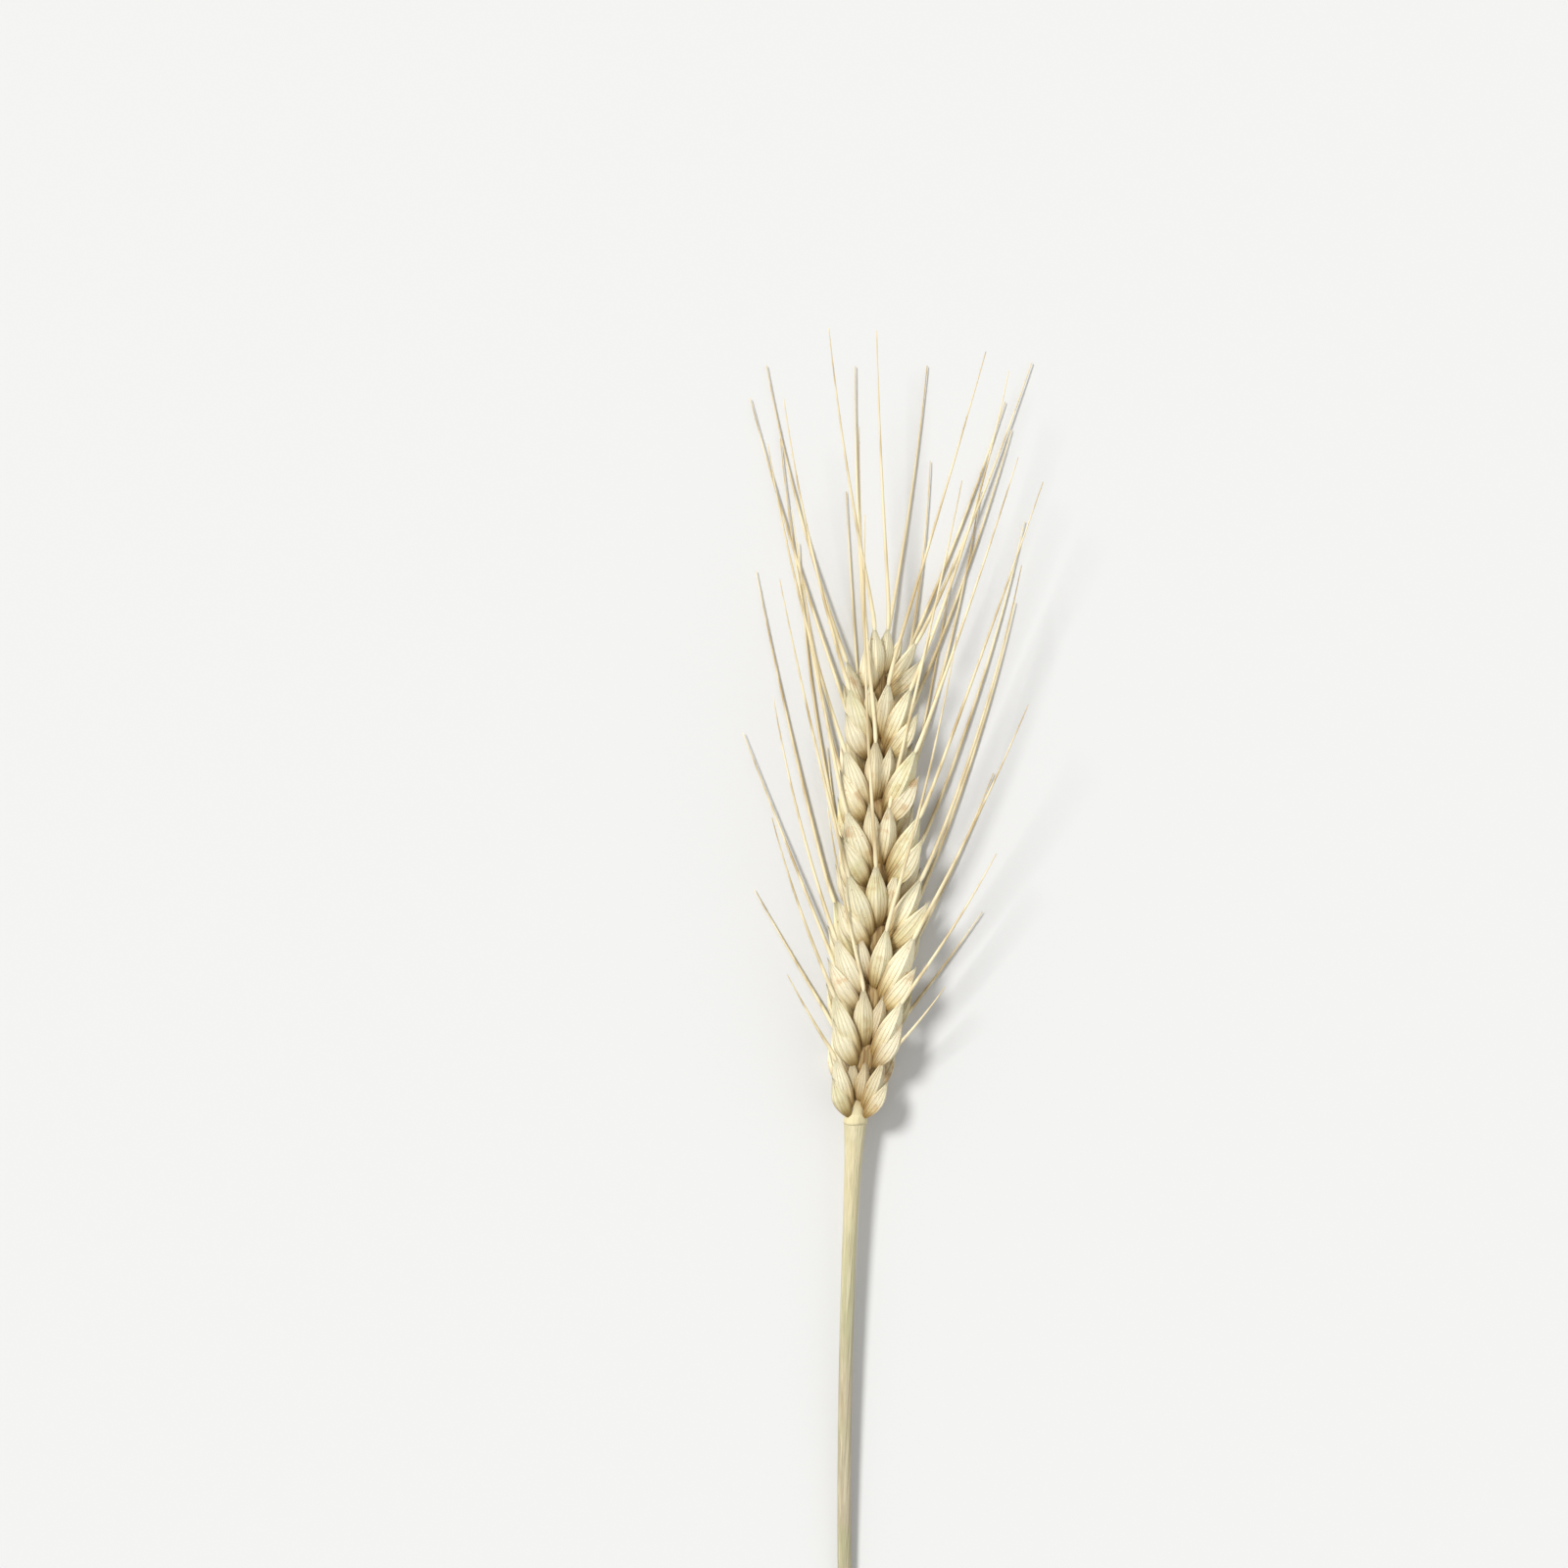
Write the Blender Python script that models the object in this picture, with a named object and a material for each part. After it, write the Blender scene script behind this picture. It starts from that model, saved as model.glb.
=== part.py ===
"""A bearded wheat ear with a short length of its straw, lying on a flat surface.

The centre line runs along +Y, from the straw's cut end to the ear's tip. The spikelets
sit in two rows, one on the upper side and one on the lower, and each of them opens as a
fan towards +X and -X.
"""

import math
import random
from collections import namedtuple

import bmesh
import bpy
from mathutils import Matrix, Vector

# Driving dimensions, in metres. Along the centre line, 0 is where the ear begins.
STRAW_LENGTH = 0.080
STRAW_RADIUS = 0.00115
STRAW_NECK_RADIUS = 0.00190
STRAW_NECK_LENGTH = 0.0080
EAR_LENGTH = 0.082
AWN_LENGTH = 0.058
AWN_ROOT_RADIUS = 0.00040
AWN_TIP_RADIUS = 0.00015
AWN_SPREAD_OUT = 6.0
LOWEST_AWN_SPREAD = 18.0
JOINT_GAP = 0.0003
STEM_ROUNDNESS = 3
SHORTEST_EDGE = 0.00000012

# How the ear lies: its centre line rises from the straw's cut end, bows to the side, and
# sways to that side low down and back again higher up.
LEVEL_FROM = 0.050
LIFT = 0.00370
EAR_BOW = 0.0011
EAR_SWAY = 0.0009
STRAW_BEND = 0.0028
EAR_ROLL = 4.0

# The spikelets, one at each joint of the rachis, and a last one at its end. The joints are
# evenly spaced, but for the lowest, which are closer together.
SIDE_SPIKELETS = 14
JOINT_SPACING = 0.00530
FIRST_JOINT = 0.0007
CLOSER_BELOW = 0.0046
TIP_TURN = 30.0
TIP_LEAN = 10.0
RACHIS_ZIGZAG = 0.0006
RACHIS_RADIUS = 0.0024
SPIKELET_LEAN = 5.0

# Along the ear, from 0 at its base to 1 at its tip: the spikelets are smaller at both ends,
# the fans widest low down, and the awns shorter at the base and a little at the tip.
FULL_SIZE_FROM = 0.30
LOWEST_SMALLER_BY = 0.27
FULL_SIZE_UP_TO = 0.55
HIGHEST_SMALLER_BY = 0.20
WIDEST_FAN_AT = 0.36
WIDER_FAN_REACH = 0.22
WIDER_FAN = 0.25
LOWEST_AWN_SHARE = 0.34
LONG_AWNS_FROM = 0.38
LONG_AWNS_UP_TO = 0.7
AWN_SHORTENING = 0.16
WIDE_AWNS_UP_TO = 0.45

# How much one spikelet, husk or awn differs from the next: angles in degrees each way, and
# sizes as shares of the full size. An awn bends by a share of its length.
ROLL_CHANGE = 7.0
SPIKELET_LEAN_CHANGE = 1.5
LEAN_CHANGE = 3.0
FACING_CHANGE = 10.0
SCALE_SIZES = (0.93, 1.06)
AWN_LEAN_CHANGE = 4.0
AWN_LENGTHS = (0.88, 1.06)
AWN_BENDS = (-0.11, -0.01)

# A scale's root is placed along, across and outwards of its spikelet's own root. Its leans
# and the way that its back faces are angles from along and from outwards, towards across.
# The last number is how far its awn leans across.
Scale = namedtuple(
    "Scale", "root lean_across lean_out facing length width back belly bow awn_lean"
)
GLUME = Scale(
    (0.0000, 0.0016, 0.0008), 28.0, 9.0, 36.0, 0.0108, 0.0041, 0.0017, 0.0008, 0.06, 0.0
)
SIDE_FLORET = Scale(
    (0.0014, 0.0012, 0.0005), 21.0, 6.0, 26.0, 0.0136, 0.0042, 0.0017, 0.0012, 0.05, 19.0
)
MIDDLE_FLORET = Scale(
    (0.0032, 0.0003, 0.0005), 5.0, 5.0, 8.0, 0.0118, 0.0036, 0.0015, 0.0012, 0.05, 12.0
)
TOP_FLORET = Scale(
    (0.0046, 0.0006, 0.0004), 9.0, 5.0, 16.0, 0.0096, 0.0030, 0.0012, 0.0010, 0.05, 0.0
)
# The outline of every scale: where it is widest, and how blunt its root and tip are. Its
# back is a keel, which gets sharper as the number grows.
WIDEST = 0.80
ROOT_BLUNTNESS = 0.74
TIP_BLUNTNESS = 1.50
KEEL = 1.25
SCALE_SIDES = 6
SCALE_RINGS = 6
AWN_SIDES = 3
AWN_PIECES = 4
AWN_FROM = 0.84
RESTING_SOFTNESS = 0.0009
STRAW_PIECES = 18

SEED = 7
STRAW_COLOUR = (0.70, 0.58, 0.30, 1.0)
EAR_COLOUR = (0.80, 0.67, 0.40, 1.0)

Awn = namedtuple("Awn", "start direction length side bend")
Placed = namedtuple("Placed", "scale root along across back aside size")


def clear_scene():
    for obj in list(bpy.data.objects):
        bpy.data.objects.remove(obj)


def new_collection(name):
    collection = bpy.data.collections.new(name)
    bpy.context.scene.collection.children.link(collection)
    return collection


def new_material(name, colour, roughness):
    material = bpy.data.materials.new(name)
    material.use_nodes = True
    shader = material.node_tree.nodes["Principled BSDF"]
    shader.inputs["Base Color"].default_value = colour
    shader.inputs["Roughness"].default_value = roughness
    shader.inputs["Metallic"].default_value = 0.0
    return material


def mesh_object(name, bm, collection):
    """A new object that holds a bmesh, with its faces pointing out."""
    bm.normal_update()
    bmesh.ops.recalc_face_normals(bm, faces=bm.faces)
    mesh = bpy.data.meshes.new(name)
    bm.to_mesh(mesh)
    bm.free()
    obj = bpy.data.objects.new(name, mesh)
    collection.objects.link(obj)
    return obj


def centre_line(y):
    """The point of the plant's centre line at the distance y from the ear's base."""
    rise = min(1.0, (y + STRAW_LENGTH) / (STRAW_LENGTH + LEVEL_FROM))
    height = STRAW_RADIUS + LIFT * math.sin(math.pi / 2 * rise)
    half_turns = math.pi * max(0.0, y / EAR_LENGTH)
    bow = EAR_BOW * math.sin(half_turns) + EAR_SWAY * math.sin(2.0 * half_turns)
    bow += STRAW_BEND * (min(0.0, y) / STRAW_LENGTH) ** 2
    return Vector((bow, y, height))


def joint_at(index):
    """The distance of a joint of the rachis from the ear's base."""
    return FIRST_JOINT + JOINT_SPACING * index - CLOSER_BELOW * (1.0 - math.exp(-index / 3))


def spikelet_size(place):
    """How large a spikelet is, from 0 at the ear's base to 1 at its tip."""
    below = max(0.0, 1.0 - place / FULL_SIZE_FROM)
    above = max(0.0, (place - FULL_SIZE_UP_TO) / (1.0 - FULL_SIZE_UP_TO))
    return 1.0 - LOWEST_SMALLER_BY * below**2 - HIGHEST_SMALLER_BY * above**2


def fan_width(place):
    """How far the husks of a spikelet lean apart there, as a share of the usual lean."""
    return 1.0 + WIDER_FAN * math.exp(-(((place - WIDEST_FAN_AT) / WIDER_FAN_REACH) ** 2))


def awn_reach(place):
    """How long the awns are at that place on the ear, as a share of the longest."""
    grown = LOWEST_AWN_SHARE + (1.0 - LOWEST_AWN_SHARE) * min(1.0, place / LONG_AWNS_FROM)
    return grown - AWN_SHORTENING * max(0.0, place - LONG_AWNS_UP_TO)


def turned(vector, axis, degrees):
    return Matrix.Rotation(math.radians(degrees), 3, axis) @ vector


def place_scale(scale, sign, spikelet, size, fan, draw):
    """Puts a scale on its spikelet, on the across side that sign gives."""
    root, along, across, outward = spikelet
    across = across * sign
    ahead, aside, off = (part * size for part in scale.root)
    lean_across = scale.lean_across * fan + draw.uniform(-LEAN_CHANGE, LEAN_CHANGE)
    lean_out = scale.lean_out + draw.uniform(-LEAN_CHANGE, LEAN_CHANGE)
    facing = math.radians(scale.facing + draw.uniform(-FACING_CHANGE, FACING_CHANGE))
    direction = (
        along
        + across * math.tan(math.radians(lean_across))
        + outward * math.tan(math.radians(lean_out))
    ).normalized()
    back = outward * math.cos(facing) + across * math.sin(facing)
    back = (back - direction * back.dot(direction)).normalized()
    return Placed(
        scale,
        root + along * ahead + across * aside + outward * off,
        direction,
        direction.cross(back),
        back,
        across,
        size * draw.uniform(*SCALE_SIZES),
    )


def scale_centre(placed, share):
    """The middle of a scale at that share of its length."""
    length = placed.scale.length * placed.size
    return (
        placed.root
        + placed.along * length * share
        + placed.back * length * placed.scale.bow * math.sin(math.pi * share)
    )


def plan_awn(placed, outward, place, draw):
    """An awn that carries on from a floret's tip, spreads away from the ear and bends."""
    wider = LOWEST_AWN_SPREAD * (1.0 - min(1.0, place / WIDE_AWNS_UP_TO)) ** 1.5
    lean_aside = placed.scale.awn_lean + wider + draw.uniform(-AWN_LEAN_CHANGE, AWN_LEAN_CHANGE)
    lean_out = AWN_SPREAD_OUT + wider * 0.6 + draw.uniform(-AWN_LEAN_CHANGE, AWN_LEAN_CHANGE)
    direction = (
        Vector((0.0, 1.0, 0.0))
        + placed.aside * math.tan(math.radians(lean_aside))
        + outward * math.tan(math.radians(lean_out))
    ).normalized()
    length = AWN_LENGTH * awn_reach(place) * draw.uniform(*AWN_LENGTHS)
    bend = draw.uniform(*AWN_BENDS)
    return Awn(scale_centre(placed, AWN_FROM), direction, length, placed.aside, bend)


def plan_spikelet(spikelet, place, turn, draw):
    """The scales and awns of one spikelet. Turn says which way its upper florets lean."""
    size, fan = spikelet_size(place), fan_width(place)
    scales = [place_scale(GLUME, sign, spikelet, size, fan, draw) for sign in (1.0, -1.0)]
    florets = [place_scale(SIDE_FLORET, sign, spikelet, size, fan, draw) for sign in (1.0, -1.0)]
    florets.append(place_scale(MIDDLE_FLORET, turn, spikelet, size, fan, draw))
    awns = [plan_awn(floret, spikelet[3], place, draw) for floret in florets]
    top = place_scale(TOP_FLORET, -turn, spikelet, size, fan, draw)
    return scales + florets + [top], awns


def plan_ear():
    """Every scale and awn of the ear, in order from its base to its tip."""
    draw = random.Random(SEED)
    lengthwise = Vector((0.0, 1.0, 0.0))
    up = Vector((0.0, 0.0, 1.0))
    scales, awns = [], []
    for index in range(SIDE_SPIKELETS + 1):
        place = index / SIDE_SPIKELETS
        roll = EAR_ROLL + draw.uniform(-ROLL_CHANGE, ROLL_CHANGE)
        lean = SPIKELET_LEAN + draw.uniform(-SPIKELET_LEAN_CHANGE, SPIKELET_LEAN_CHANGE)
        lean = math.radians(lean)
        if index < SIDE_SPIKELETS:
            ahead = lengthwise
            outward = turned(up if index % 2 == 0 else -up, ahead, roll)
            across = turned(Vector((1.0, 0.0, 0.0)), ahead, roll)
            root = centre_line(joint_at(index)) + outward * RACHIS_ZIGZAG
        else:
            ahead = turned(lengthwise, up, -TIP_LEAN)
            outward = turned(up, ahead, TIP_TURN)
            across = ahead.cross(outward)
            root = centre_line(joint_at(index)) - outward * MIDDLE_FLORET.root[2]
            lean = 0.0
        along = (ahead * math.cos(lean) + outward * math.sin(lean)).normalized()
        away = (outward * math.cos(lean) - ahead * math.sin(lean)).normalized()
        turn = 1.0 if index % 4 < 2 else -1.0
        spikelet = (root, along, across, away)
        more_scales, more_awns = plan_spikelet(spikelet, place, turn, draw)
        scales += more_scales
        awns += more_awns
    return scales, awns


def scale_body(placed):
    """A ball drawn out into a scale: pointed at its tip, keeled on its back."""
    bm = bmesh.new()
    bmesh.ops.create_uvsphere(
        bm, u_segments=SCALE_SIDES, v_segments=SCALE_RINGS, radius=1.0
    )
    scale, size = placed.scale, placed.size
    for vert in bm.verts:
        share = (vert.co.z + 1.0) / 2.0
        turn = math.atan2(vert.co.y, vert.co.x) + math.pi / SCALE_SIDES
        blunt = ROOT_BLUNTNESS + (TIP_BLUNTNESS - ROOT_BLUNTNESS) * share
        outline = max(0.0, math.sin(math.pi * min(1.0, share) ** WIDEST)) ** blunt
        rise = math.sin(turn)
        height = scale.back * rise**KEEL if rise > 0.0 else scale.belly * rise
        vert.co = (
            scale_centre(placed, share)
            + placed.across * math.cos(turn) * outline * scale.width / 2 * size
            + placed.back * height * outline * size
        )
    return bm


def awn_point(awn, share):
    """A point of an awn's line. Where the line would sink, it bends and lies on the surface."""
    point = awn.start + awn.direction * awn.length * share
    point += awn.side * awn.length * awn.bend * share * share
    above = (point.z - AWN_ROOT_RADIUS) / RESTING_SOFTNESS
    resting = AWN_ROOT_RADIUS + RESTING_SOFTNESS * math.log1p(math.exp(min(above, 30.0)))
    if above < 30.0:
        point.z += (resting - point.z) * min(1.0, share * 5.0)
    return point


def awn_body(awn):
    """A three-sided rod, cut into lengths and bent along the awn's line."""
    bm = bmesh.new()
    bmesh.ops.create_cone(
        bm, cap_ends=True, segments=AWN_SIDES, radius1=1.0, radius2=1.0, depth=1.0
    )
    long_edges = [e for e in bm.edges if abs(e.verts[0].co.z - e.verts[1].co.z) > 0.5]
    bmesh.ops.subdivide_edges(bm, edges=long_edges, cuts=AWN_PIECES - 1)
    for vert in bm.verts:
        share = vert.co.z + 0.5
        ahead = awn_point(awn, share + 0.01) - awn_point(awn, share - 0.01)
        level = ahead.cross(Vector((0.0, 0.0, 1.0))).normalized()
        upright = level.cross(ahead).normalized()
        radius = AWN_ROOT_RADIUS + (AWN_TIP_RADIUS - AWN_ROOT_RADIUS) * share
        vert.co = awn_point(awn, share) + (level * vert.co.x + upright * vert.co.y) * radius
    return bm


def stem_body(name, stops, collection):
    """A round rod along the centre line. Each stop is a distance, a step up and a radius."""
    curve = bpy.data.curves.new(name, "CURVE")
    curve.dimensions = "3D"
    curve.bevel_depth = STRAW_RADIUS
    curve.bevel_resolution = STEM_ROUNDNESS
    curve.use_fill_caps = True
    spline = curve.splines.new("POLY")
    spline.points.add(len(stops) - 1)
    for point, (y, step, radius) in zip(spline.points, stops):
        point.co = (*(centre_line(y) + Vector((0.0, 0.0, step))), 1.0)
        point.radius = radius / STRAW_RADIUS
    line = bpy.data.objects.new(name, curve)
    collection.objects.link(line)
    bpy.context.view_layer.update()
    graph = bpy.context.evaluated_depsgraph_get()
    bm = bmesh.new()
    bm.from_mesh(bpy.data.meshes.new_from_object(line.evaluated_get(graph)))
    bmesh.ops.remove_doubles(bm, verts=bm.verts, dist=1e-6)
    bpy.data.objects.remove(line)
    return mesh_object(name, bm, collection)


def build_straw(collection, material):
    """The straw, a round rod that thickens a little below the ear."""
    stops = []
    for number in range(STRAW_PIECES + 1):
        y = -JOINT_GAP - (STRAW_LENGTH - JOINT_GAP) * (1.0 - number / STRAW_PIECES) ** 1.5
        swell = (STRAW_NECK_RADIUS - STRAW_RADIUS) * math.exp(y / STRAW_NECK_LENGTH)
        stops.append((y, 0.0, STRAW_RADIUS + swell))
    straw = stem_body("straw", stops, collection)
    straw.data.materials.append(material)
    straw.data.set_sharp_from_angle(angle=math.radians(40.0))


def rachis_stops():
    """The ear's own stem: it steps up and down, and thickens where spikelets crowd it."""
    stops = [(0.0, 0.0, STRAW_NECK_RADIUS)]
    for index in range(SIDE_SPIKELETS + 1):
        place = index / SIDE_SPIKELETS
        step = RACHIS_ZIGZAG if index % 2 == 0 else -RACHIS_ZIGZAG
        grown = min(1.0, place / 0.25)
        radius = RACHIS_RADIUS * spikelet_size(place)
        radius = STRAW_NECK_RADIUS + (radius - STRAW_NECK_RADIUS) * grown
        stops.append((joint_at(index), step * grown, radius))
    stops.append((joint_at(SIDE_SPIKELETS) + 0.003, 0.0, RACHIS_RADIUS * 0.4))
    return stops


def apply_boolean(obj, operation, other):
    """Joins a collection to obj, or cuts an object from it, and keeps the result as its mesh."""
    modifier = obj.modifiers.new(operation.lower(), "BOOLEAN")
    modifier.operation = operation
    modifier.solver = "MANIFOLD"
    if isinstance(other, bpy.types.Collection):
        modifier.operand_type = "COLLECTION"
        modifier.collection = other
    else:
        modifier.object = other
    bpy.context.view_layer.update()
    graph = bpy.context.evaluated_depsgraph_get()
    mesh = bpy.data.meshes.new_from_object(obj.evaluated_get(graph))
    obj.modifiers.clear()
    obj.data = mesh


def drop_slivers(obj):
    """Closes up the very short edges that joining and cutting leave behind."""
    bm = bmesh.new()
    bm.from_mesh(obj.data)
    bmesh.ops.dissolve_degenerate(bm, dist=SHORTEST_EDGE, edges=bm.edges)
    bm.to_mesh(obj.data)
    bm.free()


def build_ear(collection, material):
    """The rachis with all its scales and awns, joined into one body and cut level below."""
    repeats = new_collection("ear_repeats")
    scales, awns = plan_ear()
    for number, placed in enumerate(scales):
        mesh_object(f"scale_{number:03d}", scale_body(placed), repeats)
    for number, awn in enumerate(awns):
        mesh_object(f"awn_{number:03d}", awn_body(awn), repeats)
    ear = stem_body("ear", rachis_stops(), collection)
    apply_boolean(ear, "UNION", repeats)
    for obj in list(repeats.objects):
        bpy.data.objects.remove(obj)
    bpy.data.collections.remove(repeats)

    block = bmesh.new()
    bmesh.ops.create_cube(block, size=1.0)
    bmesh.ops.translate(block, verts=block.verts, vec=(0.0, 0.0, -0.5))
    floor = mesh_object("floor_cutter", block, new_collection("cutters"))
    floor.hide_render = True
    floor.display_type = "WIRE"
    apply_boolean(ear, "DIFFERENCE", floor)
    drop_slivers(ear)
    ear.data.materials.clear()
    ear.data.materials.append(material)
    ear.data.set_sharp_from_angle(angle=math.radians(40.0))


def centre_on_origin(name, collection):
    """Hangs all pieces on one empty, placed so that the origin is below their middle."""
    points = [vert.co for obj in collection.objects for vert in obj.data.vertices]
    holder = bpy.data.objects.new(name, None)
    for axis in range(2):
        values = [point[axis] for point in points]
        holder.location[axis] = -(min(values) + max(values)) / 2
    holder.location.z = -min(point.z for point in points)
    for obj in collection.objects:
        obj.parent = holder
    collection.objects.link(holder)


def main():
    clear_scene()
    wheat = new_collection("wheat_ear")
    build_straw(wheat, new_material("straw", STRAW_COLOUR, 0.45))
    build_ear(wheat, new_material("ear", EAR_COLOUR, 0.60))
    centre_on_origin("wheat_ear", wheat)


main()
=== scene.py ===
import math
import random
from collections import namedtuple

import bmesh
import bpy
from mathutils import Matrix, Quaternion, Vector
from mathutils.kdtree import KDTree


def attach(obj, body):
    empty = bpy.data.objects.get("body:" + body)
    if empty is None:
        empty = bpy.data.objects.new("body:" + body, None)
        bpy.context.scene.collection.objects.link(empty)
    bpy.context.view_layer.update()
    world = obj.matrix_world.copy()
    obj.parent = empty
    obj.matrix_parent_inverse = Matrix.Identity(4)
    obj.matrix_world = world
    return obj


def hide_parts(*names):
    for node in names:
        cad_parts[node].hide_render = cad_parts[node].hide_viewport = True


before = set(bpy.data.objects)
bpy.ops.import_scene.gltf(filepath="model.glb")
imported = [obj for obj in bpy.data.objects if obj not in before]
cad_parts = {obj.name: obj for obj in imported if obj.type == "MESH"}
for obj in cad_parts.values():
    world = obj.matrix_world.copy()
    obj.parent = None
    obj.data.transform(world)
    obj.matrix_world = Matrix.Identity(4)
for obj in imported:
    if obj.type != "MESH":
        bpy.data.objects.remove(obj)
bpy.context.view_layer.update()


# The ear lies on a surface and is seen from straight above, as it is seen from in front in the
# photograph. The picture is 1600 pixels wide, and the ear's base is at pixel (873, 1145) in it.
# The ear leans a little to the right, so the camera is turned as far to the left.
PICTURE = 1600
BASE_PIXEL = (873, 1145)
PIXELS_PER_METRE = 6200.0
LENS = 80.0
SENSOR = 36.0
LEAN = math.radians(3.2)
EAR_MIDDLE_HEIGHT = 0.006
ear_foot = Vector((0.000159, -0.024734, 0.0))
to_right = Vector((math.cos(LEAN), math.sin(LEAN), 0.0))
to_top = Vector((-math.sin(LEAN), math.cos(LEAN), 0.0))
pixels_right = PICTURE / 2 - BASE_PIXEL[0]
pixels_up = BASE_PIXEL[1] - PICTURE / 2
middle = ear_foot + (to_right * pixels_right + to_top * pixels_up) / PIXELS_PER_METRE
distance = PICTURE / PIXELS_PER_METRE * LENS / SENSOR
camera = bpy.data.objects.new("camera", bpy.data.cameras.new("camera"))
camera.data.lens = LENS
camera.data.sensor_width = SENSOR
camera.data.clip_start = 0.01
camera.location = middle + Vector((0.0, 0.0, EAR_MIDDLE_HEIGHT + distance))
camera.rotation_euler = (0.0, 0.0, LEAN)
bpy.context.scene.collection.objects.link(camera)
bpy.context.scene.camera = camera


# The straw is the ear's stem: the dry, hollow upper length of the plant's stalk, smooth and a
# little glossy, with fine grooves along it. It thickens just below the ear, and it lies on the
# surface with its cut end, where the thin wall and the pith inside it show.
STRAW_LENGTH = 0.080
STRAW_RADIUS = 0.00115
STRAW_NECK_RADIUS = 0.00190
STRAW_NECK_LENGTH = 0.0080
STRAW_BEND = 0.0028
LEVEL_FROM = 0.050
LIFT = 0.00370
EAR_LENGTH = 0.082
EAR_BOW = 0.0011
EAR_SWAY = 0.0009


def centre_line(y):
    """The point of the plant's centre line at the distance y from the ear's base."""
    rise = min(1.0, (y + STRAW_LENGTH) / (STRAW_LENGTH + LEVEL_FROM))
    height = STRAW_RADIUS + LIFT * math.sin(math.pi / 2 * rise)
    half_turns = math.pi * max(0.0, y / EAR_LENGTH)
    bow = EAR_BOW * math.sin(half_turns) + EAR_SWAY * math.sin(2.0 * half_turns)
    bow += STRAW_BEND * (min(0.0, y) / STRAW_LENGTH) ** 2
    return ear_foot + Vector((bow, y, height))


class Value:
    """A socket of a material's nodes, which Python's operators reckon with."""

    def __init__(self, tree, socket=None):
        self.tree, self.socket = tree, socket

    def node(self, kind, settings, inputs, output=0):
        made = self.tree.nodes.new("ShaderNode" + kind)
        for name, setting in settings.items():
            setattr(made, name, setting)
        for key, value in inputs.items():
            if isinstance(value, Value):
                self.tree.links.new(value.socket, made.inputs[key])
            else:
                made.inputs[key].default_value = value
        return Value(self.tree, made.outputs[output])

    def math(self, operation, *values):
        return self.node("Math", {"operation": operation}, dict(enumerate(values)))

    def __add__(self, other):
        return self.math("ADD", self, other)

    def __sub__(self, other):
        return self.math("SUBTRACT", self, other)

    def __rsub__(self, other):
        return self.math("SUBTRACT", other, self)

    def __mul__(self, other):
        return self.math("MULTIPLY", self, other)

    __radd__ = __add__
    __rmul__ = __mul__

    def cosine(self):
        return self.math("COSINE", self)

    def size(self):
        return self.math("ABSOLUTE", self)

    def within(self, low, high):
        """0 up to low, 1 from high, and a soft step between them."""
        inputs = {"Value": self, "From Min": low, "From Max": high}
        return self.node("MapRange", {"interpolation_type": "SMOOTHSTEP"}, inputs)

    def noise(self, at, fineness, detail):
        """A noise pattern. Fineness is how often it changes along x, y and z."""
        spot = self.node("Mapping", {}, {"Vector": at, "Scale": fineness})
        return self.node("TexNoise", {}, {"Vector": spot, "Scale": 1.0, "Detail": detail})

    def mix(self, first, second, share):
        """A colour part of the way from the first to the second."""
        settings = {"data_type": "RGBA", "clamp_factor": True}
        return self.node("Mix", settings, {0: share, 6: first, 7: second}, output=2)


def new_material(name, **uniform):
    """A material with the uniform values of its shader, and a start for its patterns."""
    material = bpy.data.materials.new(name)
    material.use_nodes = True
    shader = material.node_tree.nodes["Principled BSDF"]
    for socket, value in uniform.items():
        shader.inputs[socket.replace("_", " ")].default_value = value
    return material, Value(material.node_tree)


def finish_material(material, colour, roughness, relief, depth):
    """Joins the patterns to the shader. Depth is the size of the relief in metres."""
    tree = material.node_tree
    shader = tree.nodes["Principled BSDF"]
    tree.links.new(colour.socket, shader.inputs["Base Color"])
    tree.links.new(roughness.socket, shader.inputs["Roughness"])
    bump = relief.node("Bump", {}, {"Height": relief, "Distance": depth, "Strength": 1.0})
    tree.links.new(bump.socket, shader.inputs["Normal"])


def add_piece(name, bm, material, nodes):
    """Puts a finished piece on the part, in place of those nodes of the solids.

    Its faces are turned outwards, for which their normals have to be up to date, and then what
    would sink into the surface is pressed flat on it.
    """
    bm.normal_update()
    bmesh.ops.recalc_face_normals(bm, faces=bm.faces)
    for vert in bm.verts:
        vert.co.z = max(vert.co.z, 0.0)
    bm.normal_update()
    mesh = bpy.data.meshes.new(name)
    bm.to_mesh(mesh)
    bm.free()
    mesh.materials.append(material)
    mesh.shade_smooth()
    piece = bpy.data.objects.new(name, mesh)
    bpy.context.scene.collection.objects.link(piece)
    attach(piece, "root")
    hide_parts(*nodes)
    return piece


STRAW_CREAM = (0.69, 0.61, 0.37, 1.0)
STRAW_BEIGE = (0.43, 0.37, 0.25, 1.0)
STRAW_GREEN = (0.37, 0.36, 0.20, 1.0)
STRAW_BROWN = (0.22, 0.12, 0.04, 1.0)
STRAW_PALE = (0.75, 0.69, 0.49, 1.0)
GROOVES_PER_METRE = (2600.0, 26.0, 2600.0)
STREAKS_PER_METRE = (900.0, 14.0, 900.0)
FINE_LINES_PER_METRE = (5200.0, 40.0, 5200.0)
BLOTCHES_PER_METRE = (70.0, 70.0, 70.0)
CREAM_TOWARDS_EAR = (-0.045, -0.004)
STAINED_AT_CUT = (-0.0798, -0.0785)
STRAW_RELIEF = 0.00026
straw_paint, paint = new_material("dry_straw", Specular_IOR_Level=0.45)
place = paint.node("TexCoord", {}, {}, output=3)
along = paint.node("SeparateXYZ", {}, {"Vector": place}, output=1) - ear_foot.y
grooves = paint.noise(place, GROOVES_PER_METRE, 3.0)
streaks = paint.noise(place, STREAKS_PER_METRE, 2.0)
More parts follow.
